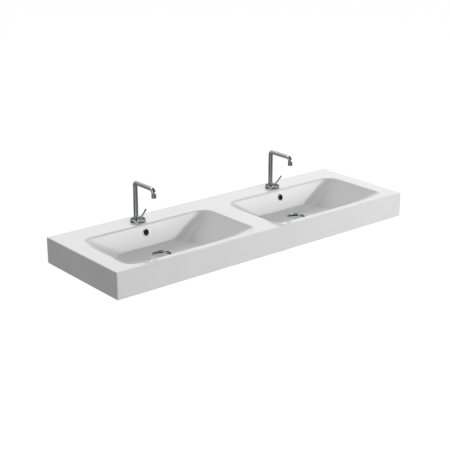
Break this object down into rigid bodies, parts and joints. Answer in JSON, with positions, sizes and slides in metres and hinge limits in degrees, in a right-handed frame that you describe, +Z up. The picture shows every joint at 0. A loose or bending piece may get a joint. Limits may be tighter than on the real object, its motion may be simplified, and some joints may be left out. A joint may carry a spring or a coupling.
{
  "type": "double washbasin",
  "caption": "Wall-hung ceramic slab basin with paired bowls, each with a swivel-spout lever mixer tap, an overflow and a push-open waste.",
  "frame": {"origin": "middle of the back face, on the wall plane, at the height of the wall bolts", "axes": "+X across the width to the right of a person at the basin, +Y into the wall, +Z up"},
  "size_m": [1.4, 0.455, 0.331],
  "materials": {
    "ceramic": "glossy white glaze",
    "chrome": "polished",
    "brass": "machined",
    "steel": "plain",
    "rubber": "matt",
    "plastic": "moulded"
  },
  "bodies": {
    "basin": {"basin_body": "ceramic", "overflow_ring_left": "chrome", "waste_body_left": "chrome", "waste_top_seal_left": "rubber", "waste_bottom_seal_left": "rubber", "waste_backnut_left": "brass", "latch_cartridge_left": "plastic", "tap_base_left": "chrome", "tap_gasket_left": "rubber", "tap_shank_left": "brass", "tap_clamp_washer_left": "rubber", "tap_clamp_plate_left": "steel", "tap_backnut_left": "brass", "mixing_cartridge_left": "plastic", "spout_bush_left": "plastic", "spout_grub_screw_left": "steel", "overflow_ring_right": "chrome", "waste_body_right": "chrome", "waste_top_seal_right": "rubber", "waste_bottom_seal_right": "rubber", "waste_backnut_right": "brass", "latch_cartridge_right": "plastic", "tap_base_right": "chrome", "tap_gasket_right": "rubber", "tap_shank_right": "brass", "tap_clamp_washer_right": "rubber", "tap_clamp_plate_right": "steel", "tap_backnut_right": "brass", "mixing_cartridge_right": "plastic", "spout_bush_right": "plastic", "spout_grub_screw_right": "steel"},
    "spout_left": {"spout_tube_left": "chrome", "spout_spigot_left": "brass", "spout_o_ring_left": "rubber", "aerator_sleeve_left": "chrome", "aerator_insert_left": "plastic"},
    "turret_left": {"lever_turret_left": "chrome", "lever_pin_left": "steel"},
    "lever_left": {"lever_rod_left": "chrome", "lever_tip_left": "chrome"},
    "plug_left": {"plug_cap_left": "chrome", "plug_seal_left": "rubber", "plug_stem_left": "brass"},
    "spout_right": {"spout_tube_right": "chrome", "spout_spigot_right": "brass", "spout_o_ring_right": "rubber", "aerator_sleeve_right": "chrome", "aerator_insert_right": "plastic"},
    "turret_right": {"lever_turret_right": "chrome", "lever_pin_right": "steel"},
    "lever_right": {"lever_rod_right": "chrome", "lever_tip_right": "chrome"},
    "plug_right": {"plug_cap_right": "chrome", "plug_seal_right": "rubber", "plug_stem_right": "brass"}
  },
  "joints": [
    {"name": "spout_swivel_left", "type": "hinge", "parent": "basin", "child": "spout_left", "pos_m": [-0.34, -0.0535, 0.046], "axis": [0, 0, 1], "range_deg": [-60, 60]},
    {"name": "lever_turn_left", "type": "hinge", "parent": "basin", "child": "turret_left", "pos_m": [-0.34, -0.0745, 0.047], "axis": [0, 0, 1], "range_deg": [-45, 45]},
    {"name": "lever_lift_left", "type": "hinge", "parent": "turret_left", "child": "lever_left", "pos_m": [-0.34, -0.0745, 0.047], "axis": [-1, 0, 0], "range_deg": [0, 25]},
    {"name": "plug_travel_left", "type": "slide", "parent": "basin", "child": "plug_left", "axis": [0, 0, 1], "range_m": [0, 0.008]},
    {"name": "spout_swivel_right", "type": "hinge", "parent": "basin", "child": "spout_right", "pos_m": [0.34, -0.0535, 0.046], "axis": [0, 0, 1], "range_deg": [-60, 60]},
    {"name": "lever_turn_right", "type": "hinge", "parent": "basin", "child": "turret_right", "pos_m": [0.34, -0.0745, 0.047], "axis": [0, 0, 1], "range_deg": [-45, 45]},
    {"name": "lever_lift_right", "type": "hinge", "parent": "turret_right", "child": "lever_right", "pos_m": [0.34, -0.0745, 0.047], "axis": [-1, 0, 0], "range_deg": [0, 25]},
    {"name": "plug_travel_right", "type": "slide", "parent": "basin", "child": "plug_right", "axis": [0, 0, 1], "range_m": [0, 0.008]}
  ]
}
